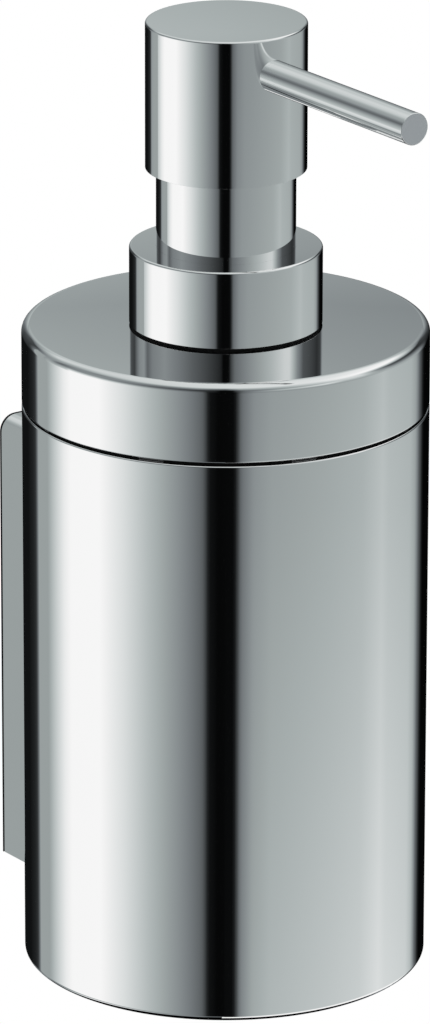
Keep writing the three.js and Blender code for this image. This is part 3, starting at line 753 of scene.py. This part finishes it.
head_low, head_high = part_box("head_cap")
clear_height = 0.0005
clear_level = head_low.z + clear_height
clear_steepest = 0.5
head_chrome = new_material("head_chrome", {"Metallic": 1.0})
use_group(head_chrome, haze_group, haze_look, polish_wires)
clear_in_mirrors(head_chrome, clear_level, clear_steepest)
guide_wall = 0.001
guide_inside = guide_radius - guide_wall
guide_foot_edge = 0.0002
guide_sleeve = piece_of("chrome_guide_sleeve", on_axis(turned([
    (guide_inside, guide_low.z, guide_foot_edge),
    (guide_radius, guide_low.z, guide_foot_edge),
    (guide_radius, guide_high.z, 0),
    (guide_inside, guide_high.z, 0),
])), head_chrome)
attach(guide_sleeve, "head")
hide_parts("guide_sleeve")


# Stem and head core: the tube that the head presses down, and the moulding that leads to the spout.
# White polypropylene mouldings; flat mirror rays pass through them as through the head.
core_plastic = new_material("core_plastic", {})
use_group(core_plastic, grain_group, white_look, pattern_wires)
clear_in_mirrors(core_plastic, clear_level, clear_steepest)
refinish(core_plastic, "head_insert", "stem")


# Head cap: the chrome press head over the plastic core, closed at the top, with the spout through it.
# Drawn brass, polished and plated, with a crisp top edge.
head_radius = (head_high.x - head_low.x) / 2
head_wall = 0.001
head_inside = head_radius - head_wall
head_inner_edge = 0.0005
head_top_wall = 0.0016
head_lip = 0.0015
head_foot_edge = 0.00002
head_cap = piece_of("chrome_head", on_axis(turned([
    (0, head_high.z - head_top_wall, 0),
    (head_inside, head_high.z - head_top_wall, head_inner_edge),
    (head_inside, head_low.z + head_lip, 0),
    (guide_fit, head_low.z + head_lip, 0),
    (guide_fit, head_low.z, 0),
    (head_radius, head_low.z, head_foot_edge),
    (head_radius, head_high.z, small_edge),
    (0, head_high.z, 0),
])), head_chrome)
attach(head_cap, "head")
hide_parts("head_cap")


# Spout: a straight chrome tube through the head's wall, closed flat at its tip, with the outlet
# hole under it. Turned brass, polished and plated, sealed in the head's core by an O-ring.
satin = new_material("satin_chrome", {"Metallic": 1.0})
use_group(satin, line_group,
          {"Line length": 9000.0, "Smooth": 0.2, "Rough": 0.28,
           "Dark": (0.66, 0.66, 0.69, 1), "Light": (0.72, 0.72, 0.75, 1)}, polish_wires)
spout_low, spout_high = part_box("spout_tube")
spout_radius = (spout_high.z - spout_low.z) / 2
spout_level = (spout_high.z + spout_low.z) / 2
spout_length = spout_high.y - spout_low.y
spout_bore = 0.00175
spout_end_wall = 0.0017
tip_edge = 0.00012
tip_rim = 0.0002
outlet_radius = 0.00135
outlet_inset = 0.0042
spout_steps = 96
tube = turned([
    (spout_bore, 0, 0),
    (spout_radius, 0, 0),
    (spout_radius, spout_length, tip_edge),
    (spout_radius - tip_rim, spout_length, 0),
    (0, spout_length, 0),
    (0, spout_length - spout_end_wall, 0),
    (spout_bore, spout_length - spout_end_wall, 0),
], spout_steps)
for face in tube.faces:
    face.material_index = int(face.calc_center_median().z > spout_length - merge_distance)
bmesh.ops.rotate(tube, verts=tube.verts, cent=(0, 0, 0), matrix=Matrix.Rotation(math.pi / 2, 3, "X"))
bmesh.ops.translate(tube, verts=tube.verts, vec=(0, spout_high.y, spout_level))
outlet = rod(outlet_radius, Vector((0, spout_low.y + outlet_inset, spout_low.z - overrun)),
             Vector((0, spout_low.y + outlet_inset, spout_level)))
spout = piece_of("chrome_spout", carve(tube, outlet), chrome)
spout.data.materials.append(satin)
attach(spout, "head")
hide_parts("spout_tube")


# Floor: a plain pale disc well below the dispenser, which takes its shadow but isn't mirrored.
floor_radius = 0.42
floor_level = -0.30
floor_steps = 128
bm = bmesh.new()
bmesh.ops.create_circle(bm, cap_ends=True, segments=floor_steps, radius=floor_radius)
bmesh.ops.translate(bm, verts=bm.verts, vec=axis + Vector((0, 0, floor_level)))
paint = new_material("pale_floor", {})
use_group(paint, grain_group,
          {"Grain": 300.0, "Depth": 0.02, "Smooth": 0.7, "Rough": 0.8,
           "Dark": (0.80, 0.80, 0.80, 1), "Light": (0.82, 0.82, 0.82, 1)}, pattern_wires)
floor_mesh = bpy.data.meshes.new("floor")
bm.to_mesh(floor_mesh)
bm.free()
floor_mesh.materials.append(paint)
floor = bpy.data.objects.new("floor", floor_mesh)
bpy.context.scene.collection.objects.link(floor)
floor.visible_glossy = False


# Two cards that only the polished metal sees: a grey one behind the bracket on its left, which the
# bracket's side mirrors, and a white ring low on the right, which lights the line of the bottom edge.
card_left = -0.0935
card_right = -0.0617
card_distance = 0.087
card_foot = -0.12
card_head = 0.10
card_grey = (0.335, 0.37, 0.37, 1)
white = (1, 1, 1, 1)
ring_inside = 0.052
ring_outside = 0.075
ring_level = -0.073
ring_start = math.radians(-1)
ring_end = math.radians(96)
ring_steps = 48
camera_side = math.radians(35.44)


def card_of(name, bm, brightness):
    """A card of an even brightness, which takes part in mirror images alone."""
    mesh = bpy.data.meshes.new(name)
    bm.to_mesh(mesh)
    bm.free()
    mesh.materials.append(new_material(name, {
        "Base Color": (0, 0, 0, 1), "Specular IOR Level": 0.0,
        "Emission Color": brightness, "Emission Strength": 1.0}))
    card = bpy.data.objects.new(name, mesh)
    bpy.context.scene.collection.objects.link(card)
    card.visible_camera = False
    card.visible_diffuse = False
    card.visible_transmission = False
    card.visible_shadow = False


bm = bmesh.new()
corners = ((card_left, card_foot), (card_right, card_foot),
           (card_right, card_head), (card_left, card_head))
bm.faces.new([bm.verts.new((x, card_distance, z)) for x, z in corners])
card_of("grey_card", bm, card_grey)

bm = bmesh.new()
facing = Vector((-math.sin(camera_side), -math.cos(camera_side), 0))
radial = Matrix.Rotation(ring_start, 3, "Z") @ facing
line = bm.edges.new([bm.verts.new(axis + radial * reach + Vector((0, 0, ring_level)))
                     for reach in (ring_inside, ring_outside)])
bmesh.ops.spin(bm, geom=[*line.verts, line], cent=axis, axis=(0, 0, 1),
               angle=ring_end - ring_start, steps=ring_steps)
card_of("white_ring", bm, white)


# Camera: a long lens from the left front, looking down on the dispenser as in the photograph.
camera_heading = math.radians(35.36)
camera_down = math.radians(18.828)
camera_roll = math.radians(0.107)
camera_reach = 1.27955
camera_level = 0.46968
camera_data = bpy.data.cameras.new("camera")
camera_data.lens = 275.64
camera_data.sensor_width = 36.0
camera_data.clip_end = 20.0
camera = bpy.data.objects.new("camera", camera_data)
camera.matrix_world = (
    Matrix.Translation(axis + camera_reach * facing + Vector((0, 0, camera_level)))
    @ Matrix.Rotation(-camera_heading, 4, "Z")
    @ Matrix.Rotation(math.pi / 2 - camera_down, 4, "X")
    @ Matrix.Rotation(camera_roll, 4, "Z"))
bpy.context.scene.collection.objects.link(camera)
bpy.context.scene.camera = camera


# Studio: plain white for the eye and for matt surfaces; polished metal mirrors a ring of cards.
# Azimuths are in degrees round the object, 0 towards the camera and rising to the right;
# heights are sines of the angle above the horizon. A fade is: start, end, value at start, value at end.
low_cards = [
    (-150, 0.006), (-141, 0.016), (-137, 0.03), (-135.5, 0.06), (-132, 0.335), (-120, 0.385),
    (-104, 0.88), (-98, 0.985), (-76, 0.99),
    (-60, 0.78), (-44, 0.52), (-32, 0.357), (-13, 0.125), (-9.5, 0.007), (-4, 0.002), (5, 0.003),
    (6.5, 0.02), (9, 0.165), (16, 0.297), (26, 0.36), (60, 0.424), (84, 0.473), (100, 0.566),
    (106, 0.528), (129, 0.49), (136, 0.39), (142.5, 0.105), (148, 0.01), (151.5, 0.0015),
]
middle_cards = [
    (-165, 0.27), (-155, 0.08), (-140, 0.05), (-125, 0.27), (-115, 0.31), (-111, 0.21), (-107.5, 0.13),
    (-98, 0.23), (-78, 0.29),
    (-57, 0.20), (-40, 0.12), (-20, 0.055), (-6, 0.018), (-3, 0.002), (4, 0.003), (11, 0.155),
    (22, 0.24), (40, 0.375), (57, 0.51), (75, 0.69), (82, 0.70), (95, 0.275), (106, 0.09),
    (140, 0.03), (155, 0.055), (168, 0.27),
]
high_cards = [
    (-170, 0.60), (-150, 0.70), (-135, 0.63), (-122, 0.43), (-105, 0.32), (-85, 0.23), (-68, 0.28),
    (-33, 0.21), (-18, 0.24), (0, 0.10), (9, 0.36), (33, 0.48), (60, 0.69), (75, 0.89), (95, 1.0),
    (140, 0.98), (155, 0.80), (168, 0.55),
]
backdrop = [
    (0.25, 0.40), (0.266, 0.465), (0.289, 0.355), (0.297, 0.308), (0.309, 0.365), (0.40, 0.40),
    (0.55, 0.62),
]
lamp_cards = [(0.53, 0.0), (0.585, 1.0), (0.66, 1.0), (0.69, 0.0)]
ceiling = 0.73
ceiling_tilt = 0.15
ground = 0.23
brightest = 1.05
matt_strength = 0.75
right_cards_fade = (-0.3213, -0.27, 1.0, 0.82)
right_foot_glow = (-0.56, -0.3213, 2.5, 1.0)
left_ground_top = (-0.48, -0.40, 1.0, 0.0)
left_ground_foot = (-0.60, -0.56, 0.0, 1.0)
right_ground_top = (-0.60, -0.56, 1.0, 0.0)
darkness_below = (-0.74, -0.68, 0.0, 1.0)
backdrop_sides = (0.45, 0.475, 0.0, 1.0)
backdrop_tilt = (-0.03, 0.03, 1.15, 0.85)
high_start = (0.36, 0.60, 0.0, 1.0)
ceiling_start = (0.616, 0.85, 0.0, 1.0)
left_rise_slow = (-0.26, -0.156, 0.0, 0.42)
left_rise_fast = (-0.156, 0.25, 0.0, 0.58)
right_rise = (-0.16, 0.25, 0.0, 1.0)
left_end = (0.226, 0.234, 0.0, 1.0)
lamp_rise = (-0.12, 0.08, 0.0, 0.6)
lamp_fall = (0.17, 0.28, 1.0, 0.0)
red_in_bright = (0.45, 0.95, 0.905, 1.0)
blue_in_dark = (0.2, 0.4, 1.05, 1.0)

world = bpy.data.worlds.new("studio")
world.use_nodes = True
bpy.context.scene.world = world
sky = world.node_tree
sky.nodes.clear()


def calc(operation, *values):
    """A math node of the studio."""
    return math_node(sky, operation, *values)


def fade(value, from_low, from_high, to_low, to_high):
    """Maps a value from one range to another and holds it at the ends."""
    return wire(sky, sky.nodes.new("ShaderNodeMapRange"), {
        "Value": value, "From Min": from_low, "From Max": from_high,
        "To Min": to_low, "To Max": to_high}).outputs["Result"]


def along(direction, heading):
    """How far a direction points along a heading."""
    node = sky.nodes.new("ShaderNodeVectorMath")
    node.operation = "DOT_PRODUCT"
    return wire(sky, node, {0: direction, 1: heading}).outputs["Value"]


def cards_along(place, stops):
    """The cards' brightness along one direction of the studio, from a colour ramp."""
    node = sky.nodes.new("ShaderNodeValToRGB")
    sky.links.new(place, node.inputs["Fac"])
    ramp = node.color_ramp
    for stop, (position, brightness) in enumerate(stops):
        point = ramp.elements[stop] if stop < 2 else ramp.elements.new(position)
        point.position = position
        point.color = (brightness, brightness, brightness, 1)
    return node.outputs["Color"]


def round_the_object(cards):
    """The brightness of a ring of cards, whose azimuths are in degrees."""
    return cards_along(turn, [(azimuth / 360 + 0.5, brightness) for azimuth, brightness in cards])


def blend(share, first, second):
    """Two brightnesses mixed by a share."""
    node = sky.nodes.new("ShaderNodeMix")
    node.data_type = "FLOAT"
    return wire(sky, node, {0: share, 2: first, 3: second}).outputs[0]


look = sky.nodes.new("ShaderNodeTexCoord").outputs["Generated"]
height = along(look, (0, 0, 1))
toward = along(look, facing)
rightward = along(look, (math.cos(camera_side), -math.sin(camera_side), 0))
turn = calc("ADD", calc("DIVIDE", calc("ARCTAN2", rightward, toward), math.tau), 0.5)
on_right = calc("GREATER_THAN", turn, 0.5)
right_fall = calc("MULTIPLY", fade(height, *right_cards_fade), fade(height, *right_foot_glow))
low_ring = calc("MULTIPLY", round_the_object(low_cards), blend(on_right, 1.0, right_fall))
ground_on_left = calc("MULTIPLY", fade(height, *left_ground_top), fade(height, *left_ground_foot))
to_ground = blend(on_right, ground_on_left, fade(height, *right_ground_top))
low_ring = blend(to_ground, low_ring, ground)
low_ring = calc("MULTIPLY", low_ring, fade(height, *darkness_below))
behind = fade(calc("ABSOLUTE", calc("SUBTRACT", turn, 0.5)), *backdrop_sides)
screen = calc("MULTIPLY", cards_along(height, backdrop), fade(rightward, *backdrop_tilt))
middle_ring = blend(behind, round_the_object(middle_cards), screen)
upper = blend(fade(height, *high_start), middle_ring, round_the_object(high_cards))
roof = calc("ADD", ceiling, calc("MULTIPLY", rightward, ceiling_tilt))
upper = blend(fade(height, *ceiling_start), upper, roof)
rise_at_left = calc("ADD", fade(height, *left_rise_slow), fade(height, *left_rise_fast))
above = blend(fade(turn, *left_end), rise_at_left, fade(height, *right_rise))
brightness = blend(above, low_ring, upper)
side_lamp = calc("MULTIPLY", fade(height, *lamp_rise), fade(height, *lamp_fall))
side_lamp = calc("MULTIPLY", side_lamp, cards_along(turn, lamp_cards))
brightness = calc("MULTIPLY", brightness, calc("ADD", side_lamp, 1.0))
brightness = calc("MINIMUM", brightness, brightest)

mirrored = wire(sky, sky.nodes.new("ShaderNodeCombineColor"), {
    "Red": calc("MULTIPLY", brightness, fade(brightness, *red_in_bright)),
    "Green": brightness,
    "Blue": calc("MULTIPLY", brightness, fade(brightness, *blue_in_dark))})
studio_light = wire(sky, sky.nodes.new("ShaderNodeBackground"), {"Color": mirrored.outputs["Color"]})
plain_light = wire(sky, sky.nodes.new("ShaderNodeBackground"), {
    "Color": white, "Strength": matt_strength})
white_ground = wire(sky, sky.nodes.new("ShaderNodeBackground"), {"Color": white})
ray = sky.nodes.new("ShaderNodeLightPath").outputs
matt_or_mirror = wire(sky, sky.nodes.new("ShaderNodeMixShader"), {
    "Fac": ray["Is Glossy Ray"], 1: plain_light.outputs["Background"],
    2: studio_light.outputs["Background"]})
seen_white = wire(sky, sky.nodes.new("ShaderNodeMixShader"), {
    "Fac": calc("MAXIMUM", ray["Is Camera Ray"], ray["Is Transmission Ray"]),
    1: matt_or_mirror.outputs["Shader"], 2: white_ground.outputs["Background"]})
wire(sky, sky.nodes.new("ShaderNodeOutputWorld"), {"Surface": seen_white.outputs["Shader"]})


# Soft lamp: one wide round light from the upper left, which only the matt surfaces show.
# It stands well away and is kept out of the mirror images.
lamp_place = Vector((-0.7, -0.9, 1.2))
lamp_aim = (lamp_place - axis).to_track_quat("Z", "Y").to_matrix().to_4x4()
lamp_data = bpy.data.lights.new("soft_lamp", "AREA")
lamp_data.shape = "DISK"
lamp_data.size = 0.9
lamp_data.energy = 5.0
lamp = bpy.data.objects.new("soft_lamp", lamp_data)
lamp.matrix_world = Matrix.Translation(lamp_place) @ lamp_aim
lamp.visible_glossy = False
bpy.context.scene.collection.objects.link(lamp)

bpy.context.scene.view_settings.view_transform = "Standard"
